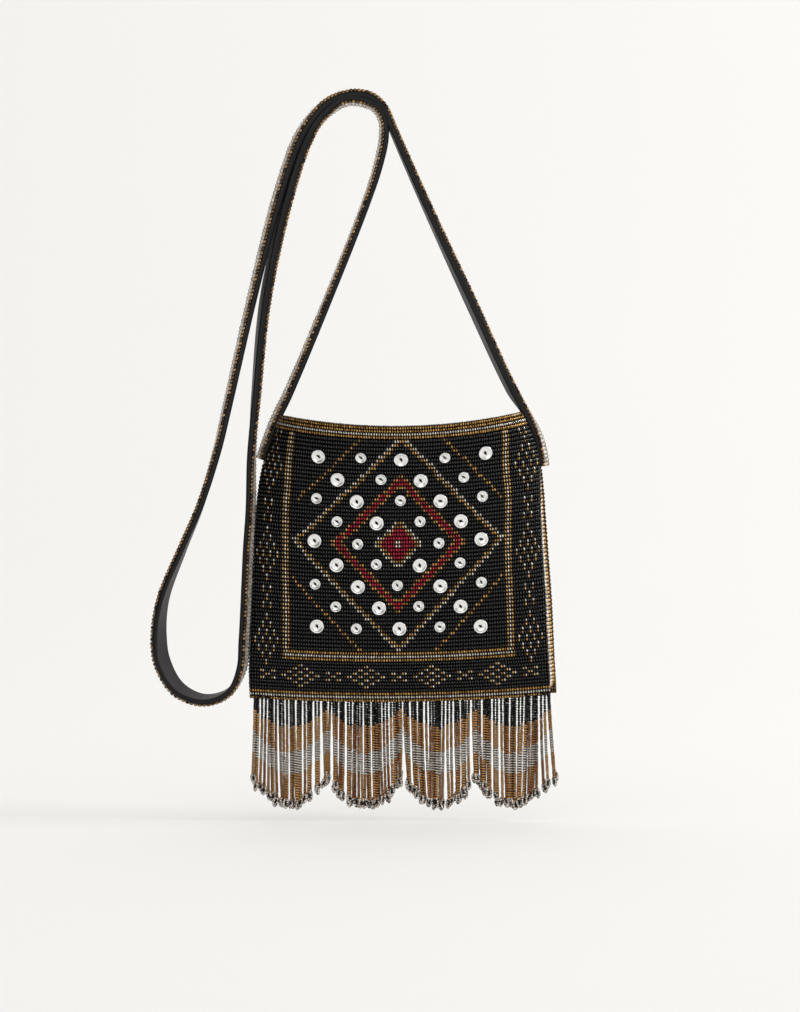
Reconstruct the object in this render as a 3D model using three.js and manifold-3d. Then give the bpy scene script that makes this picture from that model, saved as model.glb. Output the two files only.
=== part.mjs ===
// A small beaded shoulder bag, hung by its doubled strap. An open pouch of two beaded panels is sewn
// to a beaded gusset. A long leather strap with a beaded face loops over the hanging point and down
// beside the pouch. A scalloped bead fringe hangs from the base, and metal discs are sewn on the front.
// Millimetres, +Z up, front towards -Y. The origin is where the inner turn of the strap hangs.

import * as THREE from "three";
import Module from "manifold-3d";

// Pouch
const MOUTH_Z = -180.8; // corners of the mouth
const ROW_SAG_MOUTH = 7.2; // how far the middle of a bead row hangs below its ends
const ROW_SAG_BASE = 3.0;
const ROW_TILT = 0.9; // how far a row's right end sits above level
const PANEL_WALL = 2.8; // backing and one layer of beads
const PANEL_STEPS = 24; // across each panel

// Gusset
const GUSSET_WIDTH = 12;
const GUSSET_WALL = 2.4;
const GUSSET_BASE_STEPS = 14;
const SEAM_GAP = 0.3;

// Strap
const STRAP_WIDTH = 12;
const STRAP_THICKNESS = 4.4; // leather and one layer of beads
const STRAP_STEPS_PER_ROW = 3;

// Fringe
const STRAND_COUNT = 85;
const STRAND_PITCH = 2.09;
const STRAND_SIZE = 1.6;
const SCALLOPS = 4;
const SCALLOP_TIP_Z = -413;
const VALLEY_TIP_Z = -394;
const FRINGE_HEAD_HEIGHT = 3;
const FRINGE_HEAD_DEPTH = 2;
const FRINGE_HEAD_STEPS = 24;
const FRINGE_MIDDLE_X = 27.6;
const STRAND_SWAY = 0.18; // sideways drift of a strand's tip
const STRAND_SWAY_TURN = 1.9; // radians between neighbours

// Sewn discs
const DISC_ROWS = 9;
const DISCS_IN_ROW = [5, 4]; // in turn
const DISC_STEP_X = 24;
const DISC_STEP_DROP = 12.7;
const DISC_MIDDLE_DROP = 69.5;
const DISC_RADIUS_LARGE = 4.1;
const DISC_RADIUS_SMALL = 3.2;
const DISC_HOLE_RADIUS = 0.8;
const DISC_HEIGHT = 1.2;
const DISC_DISH = 0.4; // height at the hole, as a share of the rim's
const DISC_GAP = 0.35;
const DISC_SIDES = 12;
const DISC_WANDER = 0.6; // hand-sewn unevenness
const DISC_WANDER_TURN_X = 2.4; // radians between neighbours
const DISC_WANDER_TURN_DROP = 3.7;

const FINISHES = {
  blackBeads: { color: 0x1b1a1d, roughness: 0.35, metalness: 0.1 },
  goldBeads: { color: 0xb98a3e, roughness: 0.35, metalness: 0.6 },
  leather: { color: 0x2b282a, roughness: 0.55, metalness: 0 },
  bronzeBeads: { color: 0x7a5230, roughness: 0.35, metalness: 0.5 },
  silver: { color: 0xd9d9d6, roughness: 0.2, metalness: 1 },
};

// Gives each row of a table its column names.
function named(columns, rows) {
  return rows.map((row) => Object.fromEntries(columns.map((column, i) => [column, row[i]])));
}

// Sections down the pouch: distance below the mouth's corners, the front's middle and half its width,
// how far the front and the back stand out from the gusset, and how much further right the back's edge
// sits than the front's. A panel is as long round every section, so it stands out further where the
// mouth is narrower.
const POUCH = named(["drop", "middle", "half", "front", "back", "flare"], [
  [0, 26.5, 70.0, 36.0, 34.0, 0.8],
  [8, 27.0, 73.8, 32.0, 30.2, 0.9],
  [16, 27.1, 76.9, 28.0, 26.2, 1.0],
  [25, 26.8, 79.7, 24.0, 22.2, 1.2],
  [33, 26.2, 81.2, 21.2, 19.2, 1.6],
  [46, 25.4, 82.4, 18.8, 16.4, 2.5],
  [62, 24.9, 83.2, 16.8, 14.4, 3.3],
  [85, 24.8, 84.4, 13.8, 11.6, 3.9],
  [108, 25.1, 85.7, 10.4, 9.0, 4.1],
  [132, 25.1, 87.0, 7.0, 6.6, 4.2],
  [147, 25.2, 87.7, 5.2, 5.0, 4.2],
  [157, 25.6, 88.0, 4.0, 4.0, 4.2],
  [164.6, 26.0, 88.0, 3.2, 3.2, 4.2],
]);
const POUCH_HEIGHT = POUCH.at(-1).drop;

// The strap's middle line from its left end to its right end. Twist turns the beaded face towards
// the front, in degrees.
const STRAP_ROUTE = named(["x", "y", "z", "twist"], [
  // left end on the gusset, and the run up to the hanging point
  [-55.7, 0, -207.0, 0],
  [-51.5, 0, -194.8, 0],
  [-46.4, 0, -181.8, 0],
  [-40.6, 0, -170.6, 8],
  [-16.3, 0, -113.7, 3],
  [6.9, 0, -55.1, 1],
  [13.0, 0, -36.0, 3],
  [16.3, 0, -20.0, 4],
  [15.7, 0, -9.0, 2],
  [11.2, 0, -1.5, 0],
  // inner turn over the hanging point
  [-0.5, 0, 2.4, 0],
  [-7.8, 0, 1.3, 0],
  [-14.2, 0, -2.9, -1],
  [-21.0, 0, -9.5, -4],
  [-28.0, 0, -21.0, -8],
  // down the left, beside the pouch
  [-39.6, 0, -55.0, -12],
  [-52.6, 0, -113.7, -15],
  [-58.4, 0, -172.4, -7],
  [-60.9, 0, -206.0, -3],
  [-61.4, 0, -236.0, 1],
  [-62.8, 0, -260.0, 4],
  [-65.4, 0, -313.0, 6],
  // hanging loop
  [-67.1, -1, -331.0, 7],
  [-74.3, -3, -343.9, -4],
  [-89.0, -4, -348.5, -14],
  [-104.3, -4, -342.0, -29],
  [-113.5, -3, -327.0, -36],
  [-115.8, -2, -312.0, -30],
  [-113.5, -1, -289.6, -16],
  [-101.8, 0, -259.0, -6],
  // back up the left to the outer turn
  [-91.4, 0, -234.0, -2],
  [-81.5, 0, -202.0, 2],
  [-74.6, 0, -172.4, 5],
  [-61.1, 0, -113.7, 8],
  [-46.0, 0, -55.0, 10],
  [-34.0, 0, -20.4, 9],
  [-25.4, 0, -6.9, 5],
  [-15.9, 0, 2.3, 2],
  [-5.2, 0, 6.8, 0],
  [3.2, 0, 7.1, 0],
  [10.6, 0, 4.6, 0],
  [17.2, 0, -2.4, -1],
  [21.8, 0, -13.5, -3],
  // run down to the right end on the gusset
  [40.0, 0, -55.1, -4],
  [67.0, 0, -113.7, -9],
  [92.0, 0, -167.0, -8],
  [101.3, 0, -182.0, 2],
  [107.2, 0, -194.8, 6],
  [109.9, 0, -204.8, 8],
  [110.8, 0, -211.0, 8],
]);

// A disc's edge from its back to its rim, as shares of its radius and height.
const DISC_EDGE = named(["reach", "height"], [
  [0.9, 0],
  [1, 0.5],
  [0.84, 1],
]);

// One column of the pouch's sections at any drop, by cubic steps between the rows.
function pouchColumn(drop, column) {
  const last = POUCH.length - 1;
  let row = 0;
  while (row < last - 1 && drop > POUCH[row + 1].drop) {
    row += 1;
  }
  const slope = (k) => {
    const before = POUCH[Math.max(k - 1, 0)];
    const after = POUCH[Math.min(k + 1, last)];
    return (after[column] - before[column]) / (after.drop - before.drop);
  };
  const low = POUCH[row];
  const high = POUCH[row + 1];
  const span = high.drop - low.drop;
  const t = (drop - low.drop) / span;
  const ease = t * t * (3 - 2 * t);
  const leave = t * (1 - t) * (1 - t) * span * slope(row);
  const arrive = t * t * (t - 1) * span * slope(row + 1);
  return low[column] + (high[column] - low[column]) * ease + leave + arrive;
}

function rowHeight(drop, across) {
  const sag = THREE.MathUtils.lerp(ROW_SAG_MOUTH, ROW_SAG_BASE, drop / POUCH_HEIGHT);
  return MOUTH_Z - drop - sag * (1 - across * across) + ROW_TILT * across;
}

// A point of a panel: angle 0 is the right seam, pi the left one, and inset is the depth into the wall.
function panelPoint(face, angle, drop, inset) {
  const across = Math.cos(angle);
  const flare = face === "back" ? pouchColumn(drop, "flare") / 2 : 0;
  const half = pouchColumn(drop, "half") + flare - inset;
  const depth = pouchColumn(drop, face) - inset;
  const out = GUSSET_WIDTH / 2 + SEAM_GAP + depth * Math.sin(angle);
  const x = pouchColumn(drop, "middle") + flare + half * across;
  return new THREE.Vector3(x, face === "back" ? out : -out, rowHeight(drop, across));
}

// A closed body from its points and triangles, turned so that its faces point out.
function bodyFrom(points, triangles) {
  const cross = new THREE.Vector3();
  const volume = triangles.reduce((sum, [a, b, c]) => {
    return sum + points[a].dot(cross.crossVectors(points[b], points[c]));
  }, 0);
  const outward = volume < 0 ? triangles.map(([a, b, c]) => [a, c, b]) : triangles;
  const geometry = new THREE.BufferGeometry().setFromPoints(points);
  geometry.setIndex(outward.flat());
  return geometry;
}

// A bar through rings of four corners, closed at both ends.
function bar(rings) {
  const corners = rings[0].length;
  const triangles = [];
  for (let ring = 0; ring < rings.length - 1; ring += 1) {
    for (let corner = 0; corner < corners; corner += 1) {
      const a = ring * corners + corner;
      const b = ring * corners + ((corner + 1) % corners);
      triangles.push([a, b, b + corners], [a, b + corners, a + corners]);
    }
  }
  const end = (rings.length - 1) * corners;
  triangles.push([0, 2, 1], [0, 3, 2], [end, end + 1, end + 2], [end, end + 2, end + 3]);
  return bodyFrom(rings.flat(), triangles);
}

// A wall between an outer and an inner grid of points, closed round its rim.
function wall(outer, inner) {
  const rows = outer.length;
  const columns = outer[0].length;
  const at = (layer, row, column) => (layer * rows + row) * columns + column;
  const triangles = [];
  const quad = (a, b, c, d) => triangles.push([a, b, c], [a, c, d]);
  for (let row = 0; row < rows - 1; row += 1) {
    for (let column = 0; column < columns - 1; column += 1) {
      const cell = [[row, column], [row + 1, column], [row + 1, column + 1], [row, column + 1]];
      quad(...cell.map(([r, c]) => at(0, r, c)));
      quad(...cell.reverse().map(([r, c]) => at(1, r, c)));
    }
    const right = columns - 1;
    quad(at(0, row + 1, 0), at(0, row, 0), at(1, row, 0), at(1, row + 1, 0));
    quad(at(0, row, right), at(0, row + 1, right), at(1, row + 1, right), at(1, row, right));
  }
  for (let column = 0; column < columns - 1; column += 1) {
    const base = rows - 1;
    quad(at(0, 0, column), at(0, 0, column + 1), at(1, 0, column + 1), at(1, 0, column));
    quad(at(0, base, column + 1), at(0, base, column), at(1, base, column), at(1, base, column + 1));
  }
  return bodyFrom([...outer.flat(), ...inner.flat()], triangles);
}

function panel(face) {
  const grid = (inset) => POUCH.map(({ drop }) => {
    return Array.from({ length: PANEL_STEPS + 1 }, (_, step) => {
      return panelPoint(face, Math.PI * (1 - step / PANEL_STEPS), drop, inset);
    });
  });
  return wall(grid(0), grid(PANEL_WALL));
}

// One tape down the left side, along the base and up the right side.
function gusset() {
  const outerX = (across, drop, back) => {
    const flare = back ? pouchColumn(drop, "flare") / 2 : 0;
    return pouchColumn(drop, "middle") + flare + (pouchColumn(drop, "half") + flare) * across;
  };
  const ring = (across, drop, inwardX, inwardZ) => {
    const z = rowHeight(drop, across);
    const corner = (back, inside) => {
      const x = outerX(across, drop, back) + (inside ? inwardX * GUSSET_WALL : 0);
      const y = back ? GUSSET_WIDTH / 2 : -GUSSET_WIDTH / 2;
      return new THREE.Vector3(x, y, z + (inside ? inwardZ * GUSSET_WALL : 0));
    };
    return [corner(false, false), corner(true, false), corner(true, true), corner(false, true)];
  };
  const sides = POUCH.slice(0, -1).map(({ drop }) => drop);
  const left = sides.map((drop) => ring(-1, drop, 1, 0));
  const right = sides.map((drop) => ring(1, drop, -1, 0)).reverse();
  const base = [];
  for (let step = 1; step < GUSSET_BASE_STEPS; step += 1) {
    base.push(ring(-1 + (2 * step) / GUSSET_BASE_STEPS, POUCH_HEIGHT, 0, 1));
  }
  const leftCorner = ring(-1, POUCH_HEIGHT, 1, 1);
  const rightCorner = ring(1, POUCH_HEIGHT, -1, 1);
  return bar([...left, leftCorner, ...base, rightCorner, ...right]);
}

// A flat strip along the route, its beaded side to the left of the way it runs, seen from the front.
function strap() {
  const curve = new THREE.CatmullRomCurve3(
    STRAP_ROUTE.map(({ x, y, z }) => new THREE.Vector3(x, y, z)),
    false,
    "centripetal",
  );
  const spans = STRAP_ROUTE.length - 1;
  const steps = spans * STRAP_STEPS_PER_ROW;
  const back = new THREE.Vector3(0, 1, 0);
  const rings = [];
  for (let step = 0; step <= steps; step += 1) {
    const row = Math.min(Math.floor(step / STRAP_STEPS_PER_ROW), spans - 1);
    const part = step / STRAP_STEPS_PER_ROW - row;
    const twist = THREE.MathUtils.lerp(STRAP_ROUTE[row].twist, STRAP_ROUTE[row + 1].twist, part);
    const turn = THREE.MathUtils.degToRad(twist);
    const middle = curve.getPoint(step / steps);
    const along = curve.getTangent(step / steps);
    const beaded = along.clone().cross(back).normalize();
    const flat = beaded.clone().cross(along).normalize();
    const across = flat.clone().multiplyScalar(Math.cos(turn)).addScaledVector(beaded, Math.sin(turn));
    const outward = beaded.multiplyScalar(Math.cos(turn)).addScaledVector(flat, -Math.sin(turn));
    const corner = (w, t) => middle.clone()
      .addScaledVector(across, (w * STRAP_WIDTH) / 2)
      .addScaledVector(outward, (t * STRAP_THICKNESS) / 2);
    rings.push([corner(-1, 1), corner(1, 1), corner(1, -1), corner(-1, -1)]);
  }
  return bar(rings);
}

// Strands hung side by side from a head tape under the front panel, all joined into one body.
async function fringe() {
  const wasm = await Module();
  wasm.setup();
  const solidOf = (geometry) => new wasm.Manifold(new wasm.Mesh({
    numProp: 3,
    vertProperties: geometry.attributes.position.array,
    triVerts: new Uint32Array(geometry.index.array),
  }));
  const middleY = -(GUSSET_WIDTH / 2 + SEAM_GAP + PANEL_WALL / 2);
  const square = (x, z, sizeX, sizeY) => [
    new THREE.Vector3(x - sizeX / 2, middleY - sizeY / 2, z),
    new THREE.Vector3(x + sizeX / 2, middleY - sizeY / 2, z),
    new THREE.Vector3(x + sizeX / 2, middleY + sizeY / 2, z),
    new THREE.Vector3(x - sizeX / 2, middleY + sizeY / 2, z),
  ];
  const base = POUCH.at(-1);
  const headTop = (x) => {
    const across = THREE.MathUtils.clamp((x - base.middle) / base.half, -1, 1);
    return rowHeight(POUCH_HEIGHT, across) - SEAM_GAP;
  };
  const width = STRAND_COUNT * STRAND_PITCH;
  const headRings = Array.from({ length: FRINGE_HEAD_STEPS + 1 }, (_, step) => {
    const x = FRINGE_MIDDLE_X + width * (step / FRINGE_HEAD_STEPS - 0.5);
    const z = headTop(x);
    const near = middleY - FRINGE_HEAD_DEPTH / 2;
    const far = middleY + FRINGE_HEAD_DEPTH / 2;
    return [
      new THREE.Vector3(x, near, z),
      new THREE.Vector3(x, far, z),
      new THREE.Vector3(x, far, z - FRINGE_HEAD_HEIGHT),
      new THREE.Vector3(x, near, z - FRINGE_HEAD_HEIGHT),
    ];
  });
  let joined = solidOf(bar(headRings));
  for (let strand = 0; strand < STRAND_COUNT; strand += 1) {
    const part = (strand + 0.5) / STRAND_COUNT;
    const x = FRINGE_MIDDLE_X + width * (part - 0.5);
    const inScallop = 2 * ((part * SCALLOPS) % 1) - 1;
    const tip = THREE.MathUtils.lerp(SCALLOP_TIP_Z, VALLEY_TIP_Z, inScallop * inScallop);
    const top = headTop(x) - FRINGE_HEAD_HEIGHT / 2;
    const sway = STRAND_SWAY * Math.sin(strand * STRAND_SWAY_TURN);
    const strip = bar([
      square(x, top, STRAND_SIZE, STRAND_SIZE),
      square(x + sway / 2, (top + tip) / 2, STRAND_SIZE, STRAND_SIZE),
      square(x + sway, tip, STRAND_SIZE, STRAND_SIZE),
    ]);
    joined = joined.add(solidOf(strip));
  }
  const mesh = joined.getMesh();
  const geometry = new THREE.BufferGeometry();
  geometry.setAttribute("position", new THREE.BufferAttribute(mesh.vertProperties, 3));
  geometry.setIndex(new THREE.BufferAttribute(mesh.triVerts, 1));
  return geometry;
}

// A cupped disc with a raised rim and a hole for its thread, its back at height 0.
function disc(radius) {
  const hole = (height) => new THREE.Vector2(DISC_HOLE_RADIUS, height * DISC_HEIGHT);
  const edge = DISC_EDGE.map(({ reach, height }) => new THREE.Vector2(reach * radius, height * DISC_HEIGHT));
  return new THREE.LatheGeometry([hole(0), ...edge, hole(DISC_DISH), hole(0)], DISC_SIDES);
}

// Where the front's surface is, and which way it faces, at a place given by x and drop.
function frontPlace(offsetX, drop) {
  const angleAt = (x, at) => Math.acos(x / pouchColumn(at, "half"));
  const surface = (x, at) => panelPoint("front", angleAt(x, at), at, 0);
  const reach = 1;
  const sideways = surface(offsetX + reach, drop).sub(surface(offsetX - reach, drop));
  const downward = surface(offsetX, drop + reach).sub(surface(offsetX, drop - reach));
  return { point: surface(offsetX, drop), normal: downward.cross(sideways).normalize() };
}

// Discs on a staggered grid, with the middle place left free.
function discPlaces() {
  const places = [];
  const middleRow = (DISC_ROWS - 1) / 2;
  for (let row = 0; row < DISC_ROWS; row += 1) {
    const count = DISCS_IN_ROW[row % DISCS_IN_ROW.length];
    for (let column = 0; column < count; column += 1) {
      const offsetX = (column - (count - 1) / 2) * DISC_STEP_X;
      if (row === middleRow && offsetX === 0) {
        continue;
      }
      const index = places.length;
      const wanderX = DISC_WANDER * Math.sin(index * DISC_WANDER_TURN_X);
      const wanderDrop = DISC_WANDER * Math.cos(index * DISC_WANDER_TURN_DROP);
      places.push({
        offsetX: offsetX + wanderX,
        drop: DISC_MIDDLE_DROP + (row - middleRow) * DISC_STEP_DROP + wanderDrop,
        radius: (row + 2 * column) % 4 < 2 ? DISC_RADIUS_LARGE : DISC_RADIUS_SMALL,
      });
    }
  }
  return places;
}

const bag = new THREE.Group();

function add(name, geometry, finish) {
  const mesh = new THREE.Mesh(geometry, new THREE.MeshStandardMaterial(FINISHES[finish]));
  mesh.name = name;
  bag.add(mesh);
  return mesh;
}

add("front_panel", panel("front"), "blackBeads");
add("back_panel", panel("back"), "blackBeads");
add("gusset", gusset(), "goldBeads");
add("strap", strap(), "leather");
add("fringe", await fringe(), "bronzeBeads");

discPlaces().forEach(({ offsetX, drop, radius }, index) => {
  const { point, normal } = frontPlace(offsetX, drop);
  const mesh = add(`stud_${String(index + 1).padStart(2, "0")}`, disc(radius), "silver");
  mesh.position.copy(point).addScaledVector(normal, DISC_GAP);
  mesh.quaternion.setFromUnitVectors(new THREE.Vector3(0, 1, 0), normal);
});

export default bag;
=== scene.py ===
import math

import bpy
import numpy as np
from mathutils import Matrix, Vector


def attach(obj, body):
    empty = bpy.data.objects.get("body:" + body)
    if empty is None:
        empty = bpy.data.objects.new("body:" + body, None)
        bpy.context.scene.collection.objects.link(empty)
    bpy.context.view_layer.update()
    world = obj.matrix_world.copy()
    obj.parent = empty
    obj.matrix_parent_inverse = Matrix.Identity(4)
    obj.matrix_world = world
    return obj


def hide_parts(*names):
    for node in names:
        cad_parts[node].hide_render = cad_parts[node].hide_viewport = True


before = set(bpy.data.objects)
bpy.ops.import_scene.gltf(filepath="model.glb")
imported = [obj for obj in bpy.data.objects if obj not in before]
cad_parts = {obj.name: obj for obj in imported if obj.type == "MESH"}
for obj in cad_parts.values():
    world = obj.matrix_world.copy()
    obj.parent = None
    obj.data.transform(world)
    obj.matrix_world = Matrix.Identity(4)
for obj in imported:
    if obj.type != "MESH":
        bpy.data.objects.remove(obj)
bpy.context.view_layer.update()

# A small open shoulder bag woven from seed beads, in metres: +Z up, front towards -Y, the origin at
# the point it hangs from. Rows of beads cover both panels, a beaded tape joins them, a long leather
# strap with a beaded face loops over the hanging point, and strings of beads hang from the base.

MM = 0.001
SEED = 11

# Pouch, in millimetres
MOUTH_Z = -180.8
ROW_SAG_MOUTH = 7.2
ROW_SAG_BASE = 3.0
ROW_TILT = 0.9
PANEL_WALL = 2.8
SEAM_GAP = 0.3
SECTION_SAMPLES = 240
POUCH_ROWS = (
    # drop, middle, half width, front depth, back depth, step of the back to the right
    (0, 26.5, 70.0, 36.0, 34.0, 0.8),
    (8, 27.0, 73.8, 32.0, 30.2, 0.9),
    (16, 27.1, 76.9, 28.0, 26.2, 1.0),
    (25, 26.8, 79.7, 24.0, 22.2, 1.2),
    (33, 26.2, 81.2, 21.2, 19.2, 1.6),
    (46, 25.4, 82.4, 18.8, 16.4, 2.5),
    (62, 24.9, 83.2, 16.8, 14.4, 3.3),
    (85, 24.8, 84.4, 13.8, 11.6, 3.9),
    (108, 25.1, 85.7, 10.4, 9.0, 4.1),
    (132, 25.1, 87.0, 7.0, 6.6, 4.2),
    (147, 25.2, 87.7, 5.2, 5.0, 4.2),
    (157, 25.6, 88.0, 4.0, 4.0, 4.2),
    (164.6, 26.0, 88.0, 3.2, 3.2, 4.2),
)
POUCH_COLUMNS = ("drop", "middle", "half", "front", "back", "flare")
POUCH = dict(zip(POUCH_COLUMNS, np.array(POUCH_ROWS, float).T))
POUCH_HEIGHT = POUCH["drop"][-1]

# Beads of the panels
BEAD_COLUMNS = 116
PANEL_LENGTH = 175.2
COLUMN_PITCH = PANEL_LENGTH / BEAD_COLUMNS
TOP_ROWS = 4
FIELD_ROWS = 55
BASE_ROWS = 15
TOP_FIRST_DROP = 0.5
TOP_PITCH = 1.85
FIELD_FIRST_DROP = 8.3
FIELD_PITCH = 2.3145
BASE_FIRST_DROP = 135.6
BASE_PITCH = 2.035
BEAD_DEPTH = 2.2
BEAD_END = 0.7
BEAD_FILL = 0.96
# How strongly painted shade darkens a panel bead's ends and its sides
PANEL_SHADE = (1.3, 1.0)
PANEL_SIDES = {"front": 6, "back": 5}
# A six-sided bead's reach sideways, as a share of its radius
SIX_SIDED_REACH = math.sin(math.pi / 3)
# Spread of each bead's shift in millimetres, of its tilt and of its size
PANEL_JITTER = (0.035, 0.05, 0.03)
TAPE_JITTER = (0.03, 0.05, 0.03)
STRAND_JITTER = (0.04, 0.06, 0.04)
TIP_JITTER = (0.04, 0.5, 0.04)
SIZE_LIMIT = 0.12
# Painted shade: where a bead starts to darken on the way to its edge, and how dark it ends
BEAD_SHADE_FROM = 0.4
BEAD_SHADE_TO = 0.06
BACKING_INSET = 1.5
BACKING_TOP = 0.9
BACKING_STEPS = 48

# Gusset
GUSSET_WIDTH = 12.0
GUSSET_WALL = 2.4
GUSSET_SAMPLES = 200
GUSSET_ROUNDING = 9
GUSSET_INSET = 0.3
GUSSET_CLOTH_INSET = 1.08
GUSSET_RIM = 2
GUSSET_BEADS_TOP = -209.0

# Strap
STRAP_WIDTH = 12.0
STRAP_THICKNESS = 4.4
LEATHER_THICKNESS = 2.6
TAPE_COLUMNS = 6
TAPE_PITCH = 2.26
TAPE_BEAD_END = 0.6
# How strongly painted shade darkens the tape beads' ends and sides, at the rims and between them
TAPE_SHADE = (0.45, 1.15)
TAPE_SILVER_SHADE = (0.4, 0.9)
TAPE_BEAD_DEPTH = 1.8
TAPE_FILL = 0.97
STRAP_BEAD_DEPTH = 2.2
STRAP_RIM = 1
# The right half of the leather's section, from its inner face round to its beaded one
LEATHER_SECTION = (
    # share of the half width, height above the inner face, painted sheen
    (0.7, 0.0, 1.0),
    (0.9, 0.0, 0.0),
    (0.97, 0.25, 0.0),
    (1.0, 0.8, 0.0),
    (1.0, LEATHER_THICKNESS - 0.3, 0.0),
    (0.96, LEATHER_THICKNESS, 0.0),
)
ROUTE_STEPS = 24
LEATHER_STEP = 2.6
STRAP_ROUTE = np.array((
    # x, y, z, twist in degrees, extra thickness on each side
    # left end and the run up to the hanging point
    (-55.7, 0, -207.0, 12, 0.2),
    (-51.5, 0, -194.8, 13, 0.2),
    (-46.4, 0, -181.8, 13, 0.1),
    (-40.8, 0, -170.6, 12, 0.1),
    (-16.6, 0, -113.7, 8, 0.1),
    (6.6, 0, -55.1, 7, 0.1),
    (12.8, 0, -36.0, 8, 0.2),
    (16.2, 0, -20.0, 9, 0.2),
    (15.7, 0, -9.0, 6, 0.2),
    (11.2, 0, -1.5, 4, 0.3),
    # inner turn over the hanging point
    (-0.5, 0, 2.4, 5, 0.4),
    (-7.8, 0, 1.3, 4, 0.4),
    (-14.2, 0, -2.9, 1, 0.5),
    (-21.0, 0, -9.5, -4, 0.6),
    (-28.0, 0, -21.0, -8, 0.7),
    # run down beside the pouch
    (-39.6, 0, -55.0, -12, 0.7),
    (-52.6, 0, -113.7, -15, 0.5),
    (-58.4, 0, -172.4, -7, 0.5),
    (-60.9, 0, -206.0, 3, 0.2),
    (-61.4, 0, -236.0, 9, 0.0),
    (-62.8, 0, -260.0, 12, 0.0),
    (-65.4, 0, -313.0, 12, 0.0),
    # spare loop
    (-67.1, -1, -331.0, 10, 0.0),
    (-74.3, -3, -343.9, -2, 0.1),
    (-89.0, -4, -348.5, -14, 0.1),
    (-104.3, -4, -342.0, -29, 0.1),
    (-113.5, -3, -327.0, -36, 0.1),
    (-115.8, -2, -312.0, -30, 0.1),
    (-113.5, -1, -289.6, -16, 0.1),
    (-101.8, 0, -259.0, -5, 0.1),
    # run up and the outer turn
    (-91.4, 0, -234.0, 2, 0.2),
    (-81.5, 0, -202.0, 7, 0.2),
    (-74.6, 0, -172.4, 10, 0.2),
    (-61.1, 0, -113.7, 12, 0.2),
    (-46.0, 0, -55.0, 13, 0.5),
    (-34.0, 0, -20.4, 12, 0.6),
    (-25.4, 0, -6.9, 9, 0.5),
    (-15.9, 0, 2.3, 5, 0.3),
    (-5.2, 0, 6.2, 2, 0.2),
    (3.2, 0, 6.5, 0, 0.2),
    (10.6, 0, 4.1, 0, 0.2),
    (17.2, 0, -2.6, -1, 0.2),
    (21.8, 0, -13.5, -3, 0.3),
    # run down to the right end
    (40.0, 0, -55.1, -4, 0.5),
    (67.0, 0, -113.7, -11, 0.6),
    (92.0, 0, -167.0, -10, 0.5),
    (101.3, 0, -182.0, 4, 0.3),
    (107.2, 0, -194.8, 13, 0.1),
    (109.7, 0, -204.8, 16, 0.0),
    (110.4, 0, -211.0, 16, 0.0),
), float)

# Fringe
STRAND_COUNT = 83
STRAND_PITCH = 2.09
FRINGE_WIDTH = STRAND_COUNT * STRAND_PITCH
STRAND_WIDTH = 2.22
STRAND_BEAD_PITCH = 1.47
BACK_STRAND_SHARE = 0.35
BACK_STRAND_STEP = 1.7
# Painted shade on the strands behind: their tone is scaled down, as if shadowed by the front strands
BACK_STRAND_PAINTED_SHADE = 0.45
STRAND_TONE_SPREAD = 0.1
STRAND_DRIFT = 1.6
DRIFT_WINDOW = 5
STRAND_LEAN_POWER = 1.5
# Spread from strand to strand: sideways lean and bow, lean to the front, and where the colours change
STRAND_LEAN = 0.55
STRAND_BOW = 0.2
STRAND_SWAY = 0.25
BAND_UNEVEN = 0.5
STRAND_RISE = 1.2
STRAND_UNEVEN = 0.2
STRAND_BEAD_END = 0.7
STRAND_BLACK_BEAD_END = 0.55
STRAND_SLANT = 0.15
# How strongly painted shade darkens a strand bead's ends and its sides
STRAND_SHADE = (1.6, 0.7)
FRINGE_Y = -(GUSSET_WIDTH / 2 + SEAM_GAP + PANEL_WALL / 2)
SCALLOPS = 4
FRINGE_MIDDLE_X = 26.6
HEAD_HEIGHT = 1.0
HEAD_RISE = 0.9
HEAD_STEPS = 48
# How far the two faces of the head tape lie behind the strands
HEAD_DEPTHS = (0.4, 1.3)
TIP_BEAD = 1.75
TIP_BEAD_FILL = 0.85
# Largest turn of a tip's ring about its strand, in radians, and spread of its lean sideways and forward
TIP_TURN = 1.1
TIP_LEAN = (0.16, 0.1)
# Places of the beads in a strand's tip: sideways and below its last bead
TIP_RING = (
    (-0.7, 0.9),
    (0.7, 0.9),
    (-1.05, 2.0),
    (1.05, 2.0),
    (-1.1, 3.2),
    (1.1, 3.2),
    (-0.75, 4.4),
    (0.75, 4.4),
    (0.0, 5.2),
)
# Places of black beads inside each tip's ring, painted shade in its hole: sideways and below its last bead
TIP_PAINTED_SHADE = ((0.0, 2.0), (0.0, 3.2))
# Outward lean of the strands near the fringe's left and right ends
END_LEAN = np.array((
    # share of the fringe's width, lean to the right
    (0.0, -1.2),
    (0.07, 0.0),
    (0.93, 0.0),
    (1.0, 3.6),
))
# Height at which each length of colour ends, in the middle of a scallop and in a valley
STRAND_BANDS = (
    ("black", -363.3, -353.0),
    ("bronze", -378.6, -364.6),
    ("taupe", -391.0, -377.0),
    ("bronze", -406.8, -390.8),
)

# Charts of the panels' beads, in millimetres along a row or counted in rows and columns
BLACK, GOLD, SILVER, RED = range(4)
MOUTH_LINES = (GOLD, GOLD, SILVER, GOLD)
FRAME_LINES = (GOLD, SILVER, GOLD)
BASE_LINES = (GOLD, SILVER, GOLD)
DIAMOND = (1, 2, 3, 4, 3, 2, 1)
CROSS = (2, 1, 2)
ROWS = TOP_ROWS + FIELD_ROWS + BASE_ROWS
PAIR_STEP = 6.48
LINE_STEP = 2.22
BASE_SPINE = 66
BASE_DIAMONDS = (-57.3, -19.1, 19.1, 57.3)
BASE_CROSSES = (-76.4, -38.2, 0.0, 38.2, 76.4)
SIDE_SPINE = 77.2
SIDE_DIAMONDS = (13, 35, 57)
SIDE_CROSSES = (3, 24, 46)
FRAME_COLUMN = 42.5
COLUMN_SLACK = 0.1
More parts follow.
